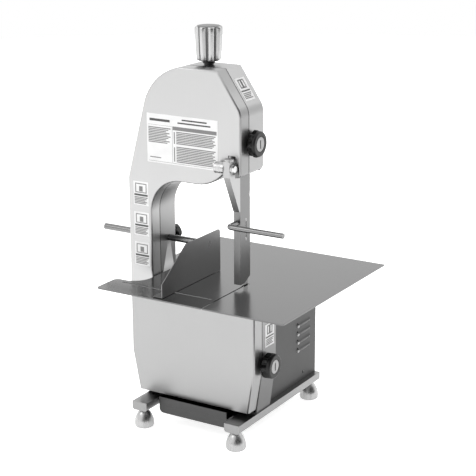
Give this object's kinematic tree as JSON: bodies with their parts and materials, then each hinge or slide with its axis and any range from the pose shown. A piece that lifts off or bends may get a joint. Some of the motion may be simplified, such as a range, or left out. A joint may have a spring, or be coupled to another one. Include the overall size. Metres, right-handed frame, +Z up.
{
  "type": "bone saw",
  "caption": "Tabletop bone saw: C-shaped steel frame with hinged front doors, blade over two wheels, steel table with sliding fence, blade guard, motor housing and drip tray.",
  "frame": {"origin": "on the bench surface under the centre of the bounding box", "axes": "+Z up, +X to the operator's right, -Y towards the operator"},
  "size_m": [0.573, 0.46, 0.896],
  "materials": {
    "casing_steel": "satin",
    "door_steel": "satin",
    "table_steel": "polished",
    "housing_steel": "satin",
    "rail_steel": "satin",
    "polished_metal": "polished",
    "fence_steel": "satin",
    "guard_steel": "satin",
    "tray_steel": "satin",
    "machined_steel": "machined",
    "cast_alloy": "cast",
    "blade_steel": "ground",
    "black_plastic": "moulded",
    "white_nylon": "machined",
    "motor_paint": "gloss",
    "box_plastic": "moulded",
    "green_plastic": "moulded",
    "red_plastic": "moulded",
    "spring_black": "black oxide"
  },
  "bodies": {
    "root": {"frame_shell": "casing_steel", "motor_housing": "housing_steel", "housing_rear_cover": "housing_steel", "rail_left": "rail_steel", "rail_right": "rail_steel", "base_braces": "rail_steel", "foot_front_left": "polished_metal", "foot_front_right": "polished_metal", "foot_rear_left": "polished_metal", "foot_rear_right": "polished_metal", "foot_studs": "machined_steel", "tray_runners": "rail_steel", "table": "table_steel", "table_bracket_left": "casing_steel", "table_bracket_right": "casing_steel", "table_screws": "machined_steel", "frame_hinge_lugs": "casing_steel", "hinge_pins": "machined_steel", "tension_washers": "spring_black", "carriage_rods": "machined_steel", "rod_blocks": "cast_alloy", "motor_bearings": "machined_steel", "motor_body": "motor_paint", "motor_end_bell": "motor_paint", "saw_blade": "blade_steel", "upper_blade_guide": "machined_steel", "lower_blade_guide": "machined_steel", "wheel_scraper": "white_nylon", "switch_box": "box_plastic", "cord_gland": "black_plastic"},
    "upper_door": {"upper_door": "door_steel", "upper_door_hinges": "casing_steel", "guard_slider": "white_nylon"},
    "lower_door": {"lower_door": "door_steel", "lower_door_hinges": "casing_steel"},
    "upper_latch": {"upper_door_knob": "black_plastic", "upper_latch_stud": "machined_steel"},
    "lower_latch": {"lower_door_knob": "black_plastic", "lower_latch_stud": "machined_steel"},
    "tension_knob": {"tension_knob": "polished_metal", "tension_screw": "machined_steel"},
    "carriage": {"wheel_carriage": "cast_alloy", "upper_axle": "machined_steel"},
    "upper_wheel": {"upper_wheel": "cast_alloy", "upper_bearings": "machined_steel"},
    "lower_wheel": {"lower_wheel": "cast_alloy", "motor_shaft": "machined_steel", "wheel_nut": "machined_steel"},
    "guard": {"guard_channel": "guard_steel", "guard_arm": "door_steel", "guard_handle": "machined_steel", "guard_bolt": "machined_steel"},
    "guard_lock": {"guard_lock_knob": "polished_metal"},
    "fence": {"fence": "fence_steel", "fence_rod": "machined_steel"},
    "fence_lock": {"fence_lock_knob": "black_plastic"},
    "rod_clamp": {"rod_clamp_knob": "black_plastic"},
    "tray": {"drip_tray": "tray_steel"},
    "start_button": {"start_button": "green_plastic"},
    "stop_button": {"stop_button": "red_plastic"}
  },
  "joints": [
    {"name": "upper_door_hinge", "type": "hinge", "parent": "root", "child": "upper_door", "pos_m": [-0.1775, -0.069, 0.5], "axis": [0, 0, -1], "range_deg": [0, 110]},
    {"name": "lower_door_hinge", "type": "hinge", "parent": "root", "child": "lower_door", "pos_m": [-0.1775, -0.069, 0.2], "axis": [0, 0, -1], "range_deg": [0, 110]},
    {"name": "upper_latch_turn", "type": "hinge", "parent": "root", "child": "upper_latch", "pos_m": [0.1235, -0.062, 0.66], "axis": [1, 0, 0], "range_deg": [0, 720]},
    {"name": "lower_latch_turn", "type": "hinge", "parent": "root", "child": "lower_latch", "pos_m": [0.1555, -0.062, 0.177], "axis": [1, 0, 0], "range_deg": [0, 720]},
    {"name": "tension_turn", "type": "hinge", "parent": "root", "child": "tension_knob", "pos_m": [0.0005, -0.045, 0.85], "axis": [0, 0, 1], "range_deg": [0, 900]},
    {"name": "carriage_slide", "type": "slide", "parent": "root", "child": "carriage", "axis": [0, 0, 1], "range_m": [-0.00438, 0]},
    {"name": "upper_wheel_spin", "type": "hinge", "parent": "carriage", "child": "upper_wheel", "pos_m": [-0.0125, -0.053, 0.687], "axis": [0, 1, 0], "continuous": true},
    {"name": "lower_wheel_spin", "type": "hinge", "parent": "root", "child": "lower_wheel", "pos_m": [-0.0125, -0.053, 0.19501], "axis": [0, 1, 0], "continuous": true},
    {"name": "guard_slide", "type": "slide", "parent": "upper_door", "child": "guard", "axis": [0, 0, 1], "range_m": [0, 0.045]},
    {"name": "guard_lock_turn", "type": "hinge", "parent": "guard", "child": "guard_lock", "pos_m": [0.0735, -0.1176, 0.615], "axis": [1, 0, 0], "range_deg": [0, 720]},
    {"name": "fence_slide", "type": "slide", "parent": "root", "child": "fence", "axis": [1, 0, 0], "range_m": [-0.065, 0.085]},
    {"name": "fence_lock_turn", "type": "hinge", "parent": "fence", "child": "fence_lock", "pos_m": [-0.0205, -0.1715, 0.35], "axis": [0, 0, 1], "range_deg": [0, 720]},
    {"name": "rod_clamp_turn", "type": "hinge", "parent": "root", "child": "rod_clamp", "pos_m": [-0.1275, -0.005, 0.418], "axis": [0, 1, 0], "range_deg": [0, 720]},
    {"name": "tray_slide", "type": "slide", "parent": "root", "child": "tray", "axis": [0, -1, 0], "range_m": [0, 0.2]},
    {"name": "start_button_push", "type": "slide", "parent": "root", "child": "start_button", "axis": [1, 0, 0], "range_m": [0, 0.004], "stiffness_N_per_m": 600},
    {"name": "stop_button_push", "type": "slide", "parent": "root", "child": "stop_button", "axis": [1, 0, 0], "range_m": [0, 0.004], "stiffness_N_per_m": 600}
  ],
  "couplings": [
    {"joint": "tension_turn", "follows": "carriage_slide", "rad_per_m": -3590.7},
    {"joint": "upper_wheel_spin", "follows": "lower_wheel_spin", "ratio": 1}
  ]
}
